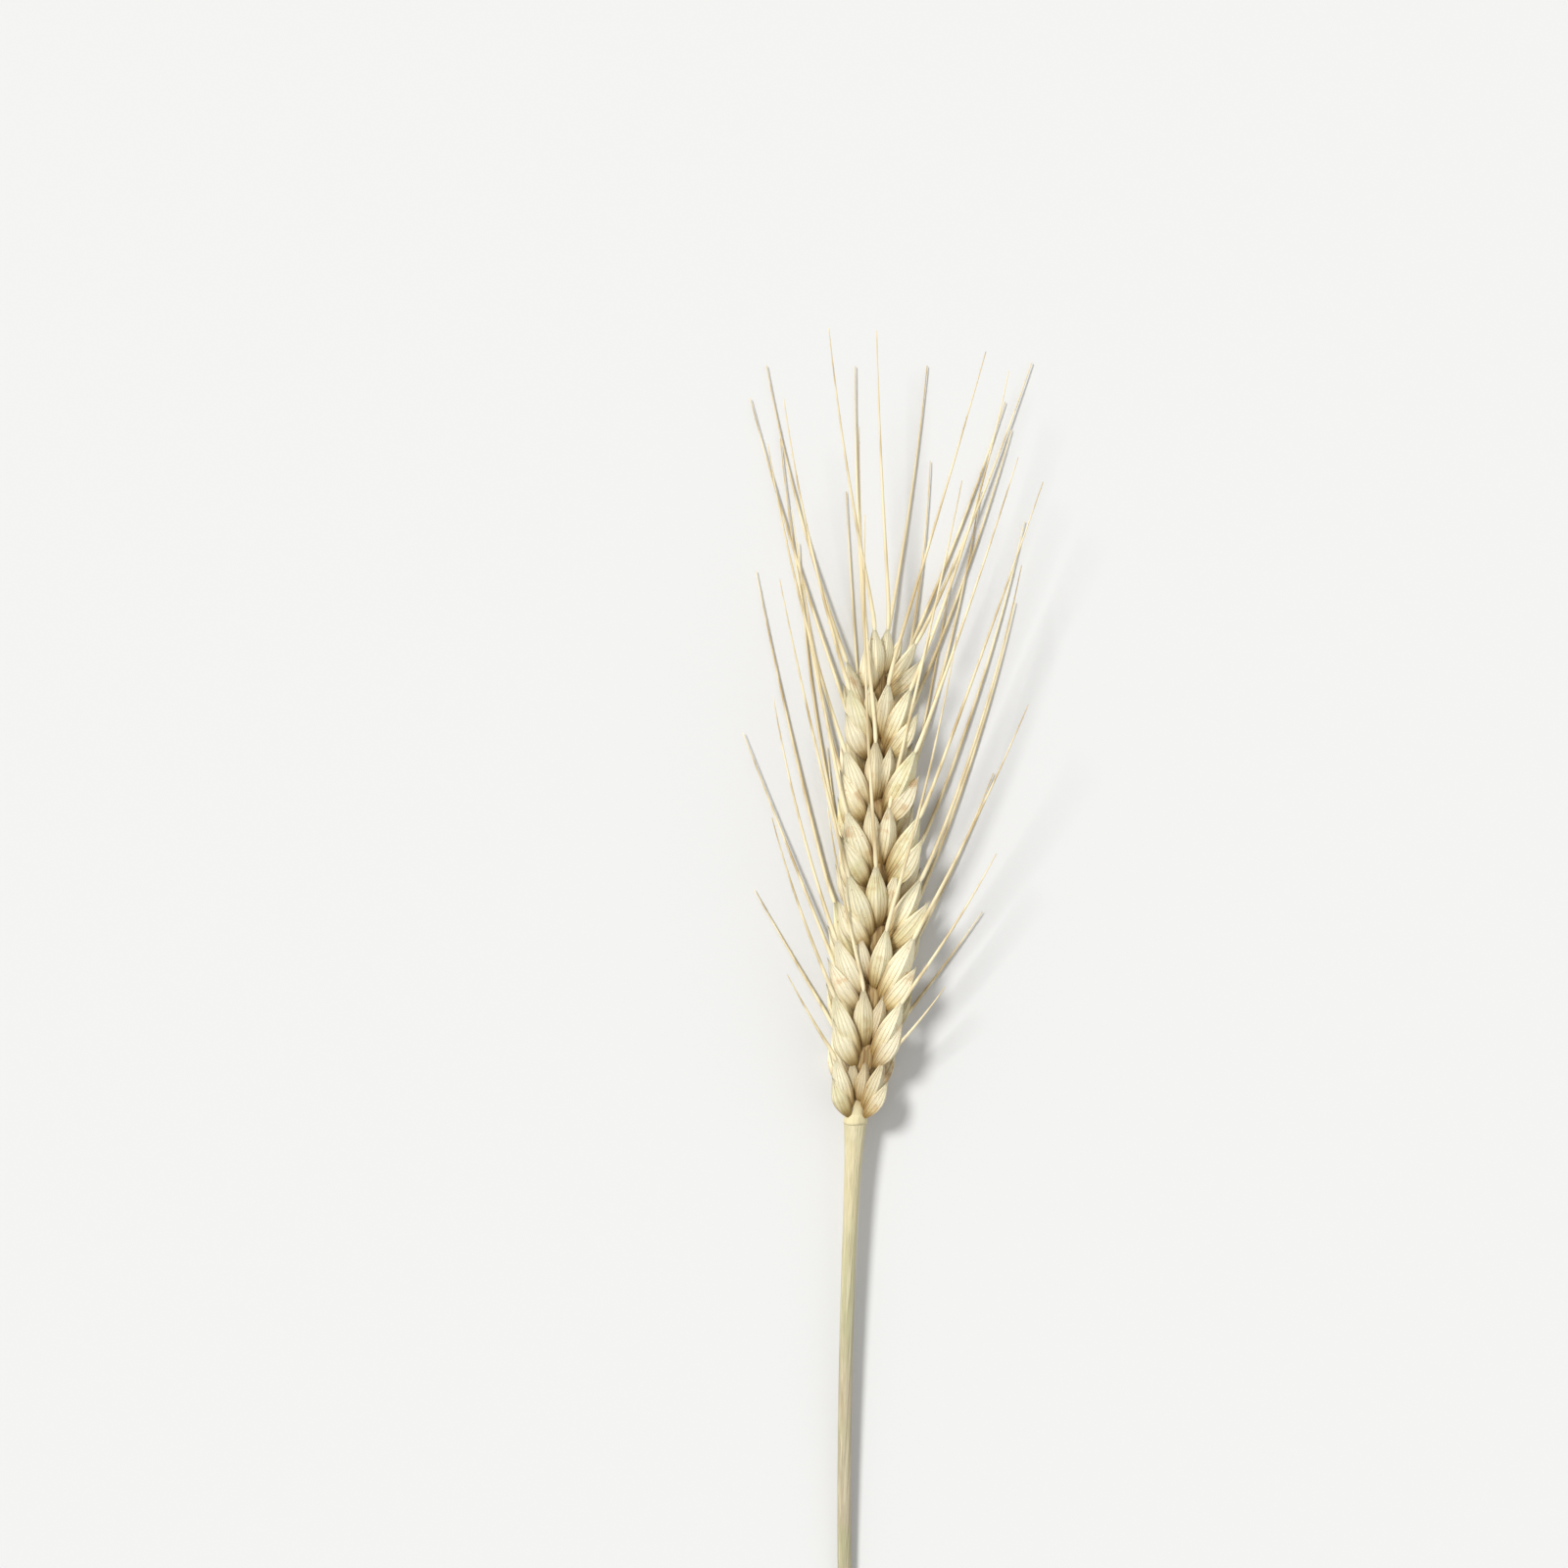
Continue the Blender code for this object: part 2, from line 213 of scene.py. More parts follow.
fine_lines = paint.noise(place, FINE_LINES_PER_METRE, 2.0)
blotches = paint.noise(place, BLOTCHES_PER_METRE, 3.0)
near_ear = along.within(*CREAM_TOWARDS_EAR)
stain = 1.0 - along.within(*STAINED_AT_CUT)
colour = paint.mix(STRAW_BEIGE, STRAW_GREEN, blotches.within(0.40, 0.62))
colour = paint.mix(colour, STRAW_CREAM, near_ear * 0.70 + streaks.within(0.35, 0.75) * 0.35)
colour = paint.mix(colour, STRAW_BROWN, streaks.within(0.56, 0.80) * 0.45)
colour = paint.mix(colour, STRAW_BROWN, fine_lines.within(0.50, 0.72) * 0.22)
colour = paint.mix(colour, STRAW_PALE, grooves.within(0.48, 0.70) * 0.40)
colour = paint.mix(colour, STRAW_BROWN, stain * 0.5)
relief = grooves + fine_lines * 0.5 + streaks * 0.6
finish_material(straw_paint, colour, 0.36 + grooves * 0.22, relief, STRAW_RELIEF)


def upright_rod(sides, cuts):
    """A closed rod of radius 1 from z = -0.5 to 0.5, cut into rings along its length."""
    bm = bmesh.new()
    bmesh.ops.create_cone(bm, cap_ends=True, segments=sides, radius1=1.0, radius2=1.0, depth=1.0)
    long_edges = [e for e in bm.edges if abs(e.verts[0].co.z - e.verts[1].co.z) > 0.5]
    bmesh.ops.subdivide_edges(bm, edges=long_edges, cuts=cuts)
    return bm


STRAW_SIDES = 40
STRAW_CUTS = 119
SHORT_OF_EAR = 0.0001
FLUTES = 11
FLUTE_TWIST = 8
FLUTE_DEPTH = 0.014
FLUTES_FADE_WITHIN = 0.004
# The cut end from its edge inwards: how wide each ring is and how deep it is pushed in.
CUT_END_RINGS = ((0.00005, 0.0), (0.00022, 0.0), (0.00012, 0.0006), (0.0003, 0.0002))
straw = upright_rod(STRAW_SIDES, STRAW_CUTS)
for vert in straw.verts:
    y = -STRAW_LENGTH + (STRAW_LENGTH - SHORT_OF_EAR) * (vert.co.z + 0.5)
    swell = (STRAW_NECK_RADIUS - STRAW_RADIUS) * math.exp(y / STRAW_NECK_LENGTH)
    turn = math.atan2(vert.co.y, vert.co.x)
    flute = FLUTE_DEPTH * (1.0 + math.cos(turn * FLUTES + y * FLUTE_TWIST))
    flute *= 1.0 - math.exp(y / FLUTES_FADE_WITHIN)
    radius = (STRAW_RADIUS + swell) * (1.0 - flute)
    vert.co = centre_line(y) + Vector((math.cos(turn), 0.0, math.sin(turn))) * radius
cut_end = min(straw.faces, key=lambda face: face.calc_center_median().y)
for inset, pushed in CUT_END_RINGS:
    bmesh.ops.inset_region(straw, faces=[cut_end], thickness=inset, use_even_offset=True)
    bmesh.ops.translate(straw, verts=cut_end.verts, vec=(0.0, pushed, 0.0))
add_piece("straw_stalk", straw, straw_paint, ["straw"])


# The rachis is the ear's own stem inside the two rows, a flat strip that steps up and down. It
# widens towards each joint, where a thick seat carries a spikelet and a fringe of hairs stands
# below it. It begins where the straw ends.
SIDE_SPIKELETS = 14
JOINT_SPACING = 0.00530
FIRST_JOINT = 0.0007
CLOSER_BELOW = 0.0046
RACHIS_ZIGZAG = 0.0006
RACHIS_END = 0.0760
OVER_STRAW = 0.0005
STRIP_HALF_WIDTH = 0.00125
STRIP_FLARE = 0.00065
STRIP_HALF_THICKNESS = 0.00095
STRIP_SIDES = 24
STRIP_CUTS = 159
FLAT_FROM = 0.006
COLLAR_FIT = 1.015
COLLAR_SWELL = 0.045
COLLAR_AT = 0.0008
COLLAR_REACH = 0.0006
COLLAR_WAVE = 0.00016
COLLAR_WAVE_REACH = 0.002
FULL_SIZE_FROM = 0.30
LOWEST_SMALLER_BY = 0.27
FULL_SIZE_UP_TO = 0.55
HIGHEST_SMALLER_BY = 0.20


def joint_at(index):
    """The distance of a joint of the rachis from the ear's base."""
    return FIRST_JOINT + JOINT_SPACING * index - CLOSER_BELOW * (1.0 - math.exp(-index / 3))


def spikelet_size(place):
    """How large a spikelet is at a place from 0, the ear's base, to 1, its tip."""
    below = max(0.0, 1.0 - place / FULL_SIZE_FROM)
    above = max(0.0, (place - FULL_SIZE_UP_TO) / (1.0 - FULL_SIZE_UP_TO))
    return 1.0 - LOWEST_SMALLER_BY * below**2 - HIGHEST_SMALLER_BY * above**2


# The rachis is painted darker and browner than its real pale straw colour: painted shade for the
# gaps between the husks, where it shows.
RACHIS_DARK = (0.20, 0.115, 0.04, 1.0)
RACHIS_TAN = (0.52, 0.385, 0.18, 1.0)
FIBRES_PER_METRE = (2600.0, 60.0, 2600.0)
STRAW_COLOURED_UP_TO = (0.001, 0.005)
RACHIS_RELIEF = 0.00012
rachis_paint, paint = new_material("rachis_husk", Specular_IOR_Level=0.25)
place = paint.node("TexCoord", {}, {}, output=3)
along = paint.node("SeparateXYZ", {}, {"Vector": place}, output=1) - ear_foot.y
fibres = paint.noise(place, FIBRES_PER_METRE, 3.0)
colour = paint.mix(RACHIS_DARK, RACHIS_TAN, fibres.within(0.30, 0.80))
foot_colour = paint.mix(STRAW_CREAM, STRAW_BROWN, fibres.within(0.50, 0.75) * 0.30)
colour = paint.mix(foot_colour, colour, along.within(*STRAW_COLOURED_UP_TO))
finish_material(rachis_paint, colour, 0.6 + fibres * 0.2, fibres, RACHIS_RELIEF)

joints = [joint_at(index) for index in range(SIDE_SPIKELETS + 1)]
rachis = upright_rod(STRIP_SIDES, STRIP_CUTS)
for vert in rachis.verts:
    y = RACHIS_END * (vert.co.z + 0.5) - OVER_STRAW
    below = max(0, sum(y >= joint for joint in joints) - 1)
    above = min(below + 1, SIDE_SPIKELETS)
    gone = (y - joints[below]) / (joints[above] - joints[below]) if above > below else 0.0
    gone = min(1.0, max(0.0, gone))
    size = spikelet_size(min(1.0, (below + gone) / SIDE_SPIKELETS))
    flat = min(1.0, max(0.0, y) / FLAT_FROM)
    wide = (STRIP_HALF_WIDTH + STRIP_FLARE * gone**2) * size
    wide = STRAW_NECK_RADIUS + (wide - STRAW_NECK_RADIUS) * flat
    thick = STRAW_NECK_RADIUS + (STRIP_HALF_THICKNESS * size - STRAW_NECK_RADIUS) * flat
    step = RACHIS_ZIGZAG * math.cos(math.pi * (below + gone)) * flat
    turn = math.atan2(vert.co.y, vert.co.x)
    collar = COLLAR_FIT + COLLAR_SWELL * math.exp(-(((y - COLLAR_AT) / COLLAR_REACH) ** 2))
    wave = COLLAR_WAVE * max(0.0, 1.0 - abs(y) / COLLAR_WAVE_REACH)
    y += wave * math.sin(turn * 2 + 0.5)
    ring = Vector((math.cos(turn) * wide * collar, 0.0, math.sin(turn) * thick * collar + step))
    vert.co = centre_line(y) + ring


# The spikelets stand singly on the rachis, above and below it by turns, and a last one at its
# end. Each opens as a fan to both sides: two outer husks, three grains in husks of their own,
# and a small upper one that stayed empty. No two of them are quite alike.
SEED = 7
SPIKELET_LEAN = 5.0
SPIKELET_LEAN_CHANGE = 1.5
EAR_ROLL = 4.0
ROLL_CHANGE = 7.0
TIP_TURN = 30.0
TIP_LEAN = 10.0
WIDEST_FAN_AT = 0.36
WIDER_FAN_REACH = 0.22
WIDER_FAN = 0.25
LEAN_CHANGE = 3.0
FACING_CHANGE = 10.0
SCALE_SIZES = (0.93, 1.06)
AWN_FROM = 0.84
AWN_LENGTH = 0.058
LOWEST_AWN_SHARE = 0.34
LONG_AWNS_FROM = 0.38
LONG_AWNS_UP_TO = 0.7
AWN_SHORTENING = 0.16
AWN_SPREAD_OUT = 6.0
LOWEST_AWN_SPREAD = 18.0
WIDE_AWNS_UP_TO = 0.45
WIDE_AWNS_FALL = 1.5
WIDE_AWNS_OUT = 0.6
AWN_LEAN_CHANGE = 4.0
AWN_LENGTHS = (0.88, 1.06)
AWN_BENDS = (-0.11, -0.01)
# A husk's root, its leans and the way that its back faces are given against its spikelet.
Scale = namedtuple(
    "Scale", "root lean_across lean_out facing length width back belly bow awn_lean"
)
GLUME = Scale(
    (0.0000, 0.0016, 0.0008), 28.0, 9.0, 36.0, 0.0108, 0.0041, 0.0017, 0.0008, 0.06, 0.0
)
SIDE_FLORET = Scale(
    (0.0014, 0.0012, 0.0005), 21.0, 6.0, 26.0, 0.0136, 0.0042, 0.0017, 0.0012, 0.05, 19.0
)
MIDDLE_FLORET = Scale(
    (0.0032, 0.0003, 0.0005), 5.0, 5.0, 8.0, 0.0118, 0.0036, 0.0015, 0.0012, 0.05, 12.0
)
TOP_FLORET = Scale(
    (0.0046, 0.0006, 0.0004), 9.0, 5.0, 16.0, 0.0096, 0.0030, 0.0012, 0.0010, 0.05, 0.0
)
Awn = namedtuple("Awn", "start leaving direction length side bend")
Placed = namedtuple("Placed", "scale root along across back aside size")


def fan_width(place):
    """How far the husks of a spikelet lean apart there, as a share of the usual lean."""
    return 1.0 + WIDER_FAN * math.exp(-(((place - WIDEST_FAN_AT) / WIDER_FAN_REACH) ** 2))


def awn_reach(place):
    """How long the awns are at that place on the ear, as a share of the longest."""
    reach = LOWEST_AWN_SHARE + (1.0 - LOWEST_AWN_SHARE) * min(1.0, place / LONG_AWNS_FROM)
    return reach - AWN_SHORTENING * max(0.0, place - LONG_AWNS_UP_TO)


def turned(vector, axis, degrees):
    """A vector turned about an axis through the origin."""
    return Matrix.Rotation(math.radians(degrees), 3, axis) @ vector


def place_scale(scale, sign, spikelet, size, fan, draw):
    """Puts a scale on its spikelet, on the across side that sign gives."""
    root, along, across, outward = spikelet
    across = across * sign
    ahead, aside, off = (part * size for part in scale.root)
    lean_across = scale.lean_across * fan + draw.uniform(-LEAN_CHANGE, LEAN_CHANGE)
    lean_out = scale.lean_out + draw.uniform(-LEAN_CHANGE, LEAN_CHANGE)
    facing = math.radians(scale.facing + draw.uniform(-FACING_CHANGE, FACING_CHANGE))
    direction = (
        along
        + across * math.tan(math.radians(lean_across))
        + outward * math.tan(math.radians(lean_out))
    ).normalized()
    back = outward * math.cos(facing) + across * math.sin(facing)
    back = (back - direction * back.dot(direction)).normalized()
    return Placed(
        scale,
        root + along * ahead + across * aside + outward * off,
        direction,
        direction.cross(back),
        back,
        across,
        size * draw.uniform(*SCALE_SIZES),
    )


def scale_centre(placed, share):
    """The middle of a scale at that share of its length."""
    length = placed.scale.length * placed.size
    return (
        placed.root
        + placed.along * length * share
        + placed.back * length * placed.scale.bow * math.sin(math.pi * share)
    )


def plan_awn(placed, outward, place, draw):
    """An awn that carries on from a floret's tip, spreads away from the ear and bends."""
    wider = LOWEST_AWN_SPREAD * (1.0 - min(1.0, place / WIDE_AWNS_UP_TO)) ** WIDE_AWNS_FALL
    lean_aside = placed.scale.awn_lean + wider
    lean_aside += draw.uniform(-AWN_LEAN_CHANGE, AWN_LEAN_CHANGE)
    lean_out = AWN_SPREAD_OUT + wider * WIDE_AWNS_OUT
    lean_out += draw.uniform(-AWN_LEAN_CHANGE, AWN_LEAN_CHANGE)
    direction = (
        Vector((0.0, 1.0, 0.0))
        + placed.aside * math.tan(math.radians(lean_aside))
        + outward * math.tan(math.radians(lean_out))
    ).normalized()
    length = AWN_LENGTH * awn_reach(place) * draw.uniform(*AWN_LENGTHS)
    bend = draw.uniform(*AWN_BENDS)
    start = scale_centre(placed, AWN_FROM)
    return Awn(start, placed.along, direction, length, placed.aside, bend)


draw = random.Random(SEED)
seats, glumes, florets, tops, awns = [], [], [], [], []
lengthwise = Vector((0.0, 1.0, 0.0))
up = Vector((0.0, 0.0, 1.0))
for index in range(SIDE_SPIKELETS + 1):
    place = index / SIDE_SPIKELETS
    roll = EAR_ROLL + draw.uniform(-ROLL_CHANGE, ROLL_CHANGE)
    lean = SPIKELET_LEAN + draw.uniform(-SPIKELET_LEAN_CHANGE, SPIKELET_LEAN_CHANGE)
    lean = math.radians(lean)
    if index < SIDE_SPIKELETS:
        ahead = lengthwise
        outward = turned(up if index % 2 == 0 else -up, ahead, roll)
        across = turned(Vector((1.0, 0.0, 0.0)), ahead, roll)
        root = centre_line(joint_at(index)) + outward * RACHIS_ZIGZAG
    else:
        ahead = turned(lengthwise, up, -TIP_LEAN)
        outward = turned(up, ahead, TIP_TURN)
        across = ahead.cross(outward)
        root = centre_line(joint_at(index)) - outward * MIDDLE_FLORET.root[2]
        lean = 0.0
    along = (ahead * math.cos(lean) + outward * math.sin(lean)).normalized()
    away = (outward * math.cos(lean) - ahead * math.sin(lean)).normalized()
    leans_to = 1.0 if index % 4 < 2 else -1.0
    spikelet = (root, along, across, away)
    size, fan = spikelet_size(place), fan_width(place)
    seats.append((spikelet, size))
    glumes += [place_scale(GLUME, sign, spikelet, size, fan, draw) for sign in (1.0, -1.0)]
    added = [place_scale(SIDE_FLORET, sign, spikelet, size, fan, draw) for sign in (1.0, -1.0)]
    added.append(place_scale(MIDDLE_FLORET, leans_to, spikelet, size, fan, draw))
    awns += [plan_awn(floret, away, place, draw) for floret in added]
    florets += added
    tops.append(place_scale(TOP_FLORET, -leans_to, spikelet, size, fan, draw))
# The lowest middle floret's awn would run hidden inside the husks above it.
lowest_middle_awn = 2
del awns[lowest_middle_awn]


def shape_of(bm, name):
    """Keeps a small finished mesh, of which many copies are added elsewhere."""
    shape = bpy.data.meshes.new(name)
    bm.to_mesh(shape)
    bm.free()
    return shape


def add_copy(bm, shape):
    """Adds a copy of a kept shape to a mesh, and gives the copy's vertices."""
    bm.from_mesh(shape)
    bm.verts.ensure_lookup_table()
    return bm.verts[-len(shape.vertices):]


SEAT_ALONG = 0.0031
SEAT_ACROSS = 0.0020
SEAT_OUT = 0.0014
SEAT_AHEAD_OF_ROOT = 0.0016
SEAT_OUT_OF_ROOT = 0.0003
ball = bmesh.new()
bmesh.ops.create_uvsphere(ball, u_segments=20, v_segments=12, radius=1.0)
seat_shape = shape_of(ball, "seat_shape")
for (root, along, across, outward), size in seats:
    from_root = (along * SEAT_AHEAD_OF_ROOT + outward * SEAT_OUT_OF_ROOT) * size
    middle_of_seat = root + from_root
    for vert in add_copy(rachis, seat_shape):
        x, y, z = vert.co
        vert.co = middle_of_seat + size * (
            across * x * SEAT_ACROSS + along * y * SEAT_ALONG + outward * z * SEAT_OUT
        )

HAIRS_AT_JOINT = 26
HAIR_LENGTH = 0.0011
HAIR_LENGTHS = (0.6, 1.2)
HAIR_ROOT_RADIUS = 0.00004
HAIR_TIP_RADIUS = 0.00001
HAIR_ROOT_INSIDE = 0.86
HAIR_ROOT_AHEAD = 0.0002
HAIR_FORWARD = 1.5
HAIR_SPREADS = (0.5, 1.1)
FRINGE_SEED = 10
hair = bmesh.new()
bmesh.ops.create_cone(
    hair,
    cap_ends=True,
    segments=3,
    radius1=HAIR_ROOT_RADIUS,
    radius2=HAIR_TIP_RADIUS,
    depth=HAIR_LENGTH,
)
bmesh.ops.translate(hair, verts=hair.verts, vec=(0.0, 0.0, HAIR_LENGTH / 2))
hair_shape = shape_of(hair, "hair_shape")
fringe = random.Random(FRINGE_SEED)
for (root, along, across, outward), size in seats:
    for number in range(HAIRS_AT_JOINT):
        turn = math.pi * (number + fringe.random()) / HAIRS_AT_JOINT
        out = across * math.cos(turn) * SEAT_ACROSS + outward * math.sin(turn) * SEAT_OUT
        foot = root + (out * HAIR_ROOT_INSIDE + along * HAIR_ROOT_AHEAD) * size
        aim = along * HAIR_FORWARD + out.normalized() * fringe.uniform(*HAIR_SPREADS)
        stand = aim.normalized().to_track_quat("Z", "Y")
        longer = size * fringe.uniform(*HAIR_LENGTHS)
        for vert in add_copy(rachis, hair_shape):
            vert.co = foot + stand @ (vert.co * longer)
add_piece("rachis_stem", rachis, rachis_paint, ["ear"])


# The husks are dry papery scales. Each grows from the rachis with a blunt root, and has a point
# at its tip, a keel down its back and a rim that laps over what it holds. It is drawn out from
# a ball.
WIDEST = 0.80
ROOT_BLUNTNESS = 0.74
TIP_BLUNTNESS = 1.50
FLANK_ROUNDNESS = 0.30
BELLY_SHARE = 0.84
HUSK_SIDES = 24
HUSK_RINGS = 22
SHADED_WITHIN = 0.0022
OPEN_FROM = 0.0050
OPEN_TIP_FROM = RACHIS_END * 0.90
OPEN_TIP_WITHIN = 0.004
# The map's first number runs across the husk, and its second from root to tip. The tint is the
# husk's own, and the depth is how far inside the ear a point of it lies, where the husk gets
# painted shade.
husk = bmesh.new()
husk_map = husk.loops.layers.uv.new("husk")
husk.verts.layers.float.new("tint")
husk.verts.layers.float.new("depth")
bmesh.ops.create_uvsphere(husk, u_segments=HUSK_SIDES, v_segments=HUSK_RINGS, radius=1.0)
for face in husk.faces:
    for loop in face.loops:
        x, y, z = loop.vert.co
        loop[husk_map].uv = (0.5 + 0.5 * math.cos(math.atan2(y, x)), 0.5 + 0.5 * z)
husk_shape = shape_of(husk, "husk_shape")


def add_husk(bm, placed, keel, keel_at, tint):
    """Adds one husk to a mesh. Keel is how sharp the keel down its back is, and keel_at its
    place across.
    """
    verts = add_copy(bm, husk_shape)
    tints = bm.verts.layers.float["tint"]
    painted_shade_depths = bm.verts.layers.float["depth"]
    scale, size = placed.scale, placed.size
    outer_way = placed.across if placed.across.dot(placed.aside) > 0.0 else -placed.across
    for vert in verts:
        share = (vert.co.z + 1.0) / 2.0
        turn = math.atan2(vert.co.y, vert.co.x)
        blunt = ROOT_BLUNTNESS + (TIP_BLUNTNESS - ROOT_BLUNTNESS) * share
        outline = max(0.0, math.sin(math.pi * min(1.0, share) ** WIDEST)) ** blunt
        side, rise = math.cos(turn), math.sin(turn)
        if rise > -0.01:
            reach = 1.0 - keel_at if side > keel_at else 1.0 + keel_at
            flank = 1.0 - keel * abs(side - keel_at) / reach
            height = scale.back * flank * max(0.0, rise) ** FLANK_ROUNDNESS
        else:
            height = scale.belly * rise
            side *= BELLY_SHARE
        vert.co = (
            scale_centre(placed, share)
            + outer_way * side * outline * scale.width / 2 * size
            + placed.back * height * outline * size
        )
        # The depth sets the painted shade of a husk where it lies deep inside the ear.
        y = vert.co.y - ear_foot.y
        from_core = vert.co - centre_line(y)
        open_air = (from_core.length - SHADED_WITHIN) / (OPEN_FROM - SHADED_WITHIN)
        open_air += max(0.0, y - OPEN_TIP_FROM) / OPEN_TIP_WITHIN
        vert[painted_shade_depths] = 1.0 - min(1.0, max(0.0, open_air))
        vert[tints] = tint


KEEL_EDGE = math.radians(32.0)
LOOKS_SEED = 2178
looks = random.Random(LOOKS_SEED)


def add_husks(name, husks, paint, keel, keel_at):
    """Puts a group of like husks on the part as one piece."""
    bm = bmesh.new()
    for placed in husks:
        add_husk(bm, placed, keel, keel_at, looks.random())
    piece = add_piece(name, bm, paint, ["ear"])
    piece.data.set_sharp_from_angle(angle=KEEL_EDGE)


OLIVE = (0.74, 0.70, 0.28, 1.0)
ASH = (0.76, 0.69, 0.55, 1.0)
RUST = (0.60, 0.31, 0.09, 1.0)
SHADE_AMBER = (0.44, 0.26, 0.07, 1.0)
BLACK = (0.0, 0.0, 0.0, 1.0)
CLOUDS_PER_METRE = (330.0, 330.0, 330.0)
SPECKS_PER_METRE = (1500.0, 1500.0, 1500.0)
FIBRES_PER_HUSK = (34.0, 3.2, 1.0)
FINE_FIBRES_PER_HUSK = (110.0, 6.0, 1.0)
HUSK_RELIEF = 0.00018


def husk_material(name, pale, straw, brown, keel_at, veins):
    """The dry papery skin of a husk: ribbed along its length, brown at its root and rim partly
    in its own colour and partly as painted shade, with a painted highlight on its keel and
    painted shade deep inside the ear.
    """
    material, paint = new_material(name, Specular_IOR_Level=0.30)
    spot = paint.node("UVMap", {"uv_map": "husk"}, {})
    across = paint.node("SeparateXYZ", {}, {"Vector": spot}, output=0) - 0.5
    length = paint.node("SeparateXYZ", {}, {"Vector": spot}, output=1)
    tint = paint.node("Attribute", {"attribute_name": "tint"}, {}, output=2)
    depth = paint.node("Attribute", {"attribute_name": "depth"}, {}, output=2)
    place = paint.node("TexCoord", {}, {}, output=3)
    cloud = paint.noise(place, CLOUDS_PER_METRE, 3.0)
    speck = paint.noise(place, SPECKS_PER_METRE, 2.0)
    fibres = paint.noise(spot, FIBRES_PER_HUSK, 3.0)
    fine = paint.noise(spot, FINE_FIBRES_PER_HUSK, 2.0)
    rib = (across * (2.0 * math.pi * veins)).cosine().within(0.2, 1.0)
    from_keel = (across - keel_at * 0.5).size()
    rim = across.size().within(0.38, 0.50)
    green = (1.0 - tint.within(0.10, 0.45)) * cloud.within(0.35, 0.65)
    painted_keel_highlight = (1.0 - from_keel.within(0.01, 0.05)) * length.within(0.10, 0.30)
    colour = paint.mix(straw, pale, length.within(0.10, 0.55) * (0.50 + fibres * 0.80))
    colour = paint.mix(colour, OLIVE, green * 0.42)
    colour = paint.mix(colour, ASH, tint.within(0.74, 0.98) * 0.35)
    colour = paint.mix(colour, straw, rib * (0.15 + fine * 0.25))
    colour = paint.mix(colour, RUST, cloud.within(0.56, 0.74) * 0.55)
    colour = paint.mix(colour, RUST, speck.within(0.66, 0.76) * 0.60)
    colour = paint.mix(colour, brown, fibres.within(0.62, 0.84) * 0.20)
    # Browner towards the root and along the rim near it: partly the husk's own brown, partly
    # painted shade where the husks tuck in between each other.
    colour = paint.mix(colour, brown, (1.0 - length.within(0.02, 0.30)) * 0.74)
    colour = paint.mix(colour, brown, rim * (1.0 - length.within(0.25, 0.70)) * 0.70)
    colour = paint.mix(colour, brown, length.within(0.88, 1.0) * 0.40)
    # Painted highlight: a pale line along the keel.
    colour = paint.mix(colour, pale, painted_keel_highlight * 0.60)
    # Painted shade: amber-brown darkening where the husk lies deep inside the ear.
    colour = paint.mix(colour, SHADE_AMBER, depth * 0.58)
    colour = paint.mix(BLACK, colour, 0.90 + tint * 0.10)
    roughness = 0.40 + fibres * 0.25
    relief = rib * 0.6 + fibres * 0.8 + fine * 0.5 + cloud * 0.3
    finish_material(material, colour, roughness, relief, HUSK_RELIEF)
    return material


# The glumes are the two outer husks at the foot of each spikelet. They are stiff and boat
# shaped, with a sharp keel towards their outer side that ends in a short tooth.
GLUME_KEEL = 0.78
GLUME_KEEL_AT = 0.259
glume_paint = husk_material(
    "glume_husk",
    (1.00, 0.93, 0.67, 1.0),
    (0.84, 0.64, 0.29, 1.0),
    (0.21, 0.105, 0.025, 1.0),
    keel_at=GLUME_KEEL_AT,
    veins=5,
)
add_husks("glumes", glumes, glume_paint, GLUME_KEEL, GLUME_KEEL_AT)


# Each grain is held in a lemma, a rounder and longer husk with fine ribs. Its tip narrows
# into an awn. The upper, empty floret of a spikelet is a slimmer one.
LEMMA_KEEL = 0.66
LEMMA_KEEL_AT = 0.0
lemma_paint = husk_material(
    "lemma_husk",
    (1.00, 0.94, 0.68, 1.0),
    (0.86, 0.67, 0.32, 1.0),
    (0.25, 0.125, 0.03, 1.0),
    keel_at=LEMMA_KEEL_AT,
    veins=7,
)
add_husks("lemmas", florets + tops, lemma_paint, LEMMA_KEEL, LEMMA_KEEL_AT)


# The awns are long stiff bristles, one from the tip of each lemma, rough with fine forward
# teeth. They taper to a point and bend a little inwards. Where one would sink into the
# surface, it bends and lies along it.
AWN_ROOT_RADIUS = 0.00040
AWN_THICKNESS = 0.00033
AWN_POINT = 0.00008
AWN_ROOT_SWELL = 0.00005
AWN_ROOT_SWELL_REACH = 0.0050
AWN_SLIMMER_BY = 0.00026
AWN_SLIM_START = 0.0016
AWN_TURNING = 0.05
RESTING_SOFTNESS = 0.0009
RESTING_GROWTH = 5.0
WELL_ABOVE = 30.0


def awn_point(awn, share):
    """A point of an awn's line. It leaves along its husk and then turns to its own way."""
    left = AWN_TURNING * (1.0 - math.exp(-share / AWN_TURNING))
    point = awn.start + awn.leaving * awn.length * left
    point += awn.direction * awn.length * (share - left)
    point += awn.side * awn.length * awn.bend * share * share
    above = (point.z - AWN_ROOT_RADIUS) / RESTING_SOFTNESS
    if above < WELL_ABOVE:
        resting = AWN_ROOT_RADIUS + RESTING_SOFTNESS * math.log1p(math.exp(above))
        point.z += (resting - point.z) * min(1.0, share * RESTING_GROWTH)
    return point


def awn_radius(awn, share):
    """An awn begins slim inside its husk, is as thick as the husk's tip there, and tapers."""
    gone = share * awn.length
    radius = AWN_THICKNESS + (AWN_POINT - AWN_THICKNESS) * share
    radius += AWN_ROOT_SWELL * math.exp(-((gone / AWN_ROOT_SWELL_REACH) ** 2))
    return radius - AWN_SLIMMER_BY * max(0.0, 1.0 - gone / AWN_SLIM_START) ** 2


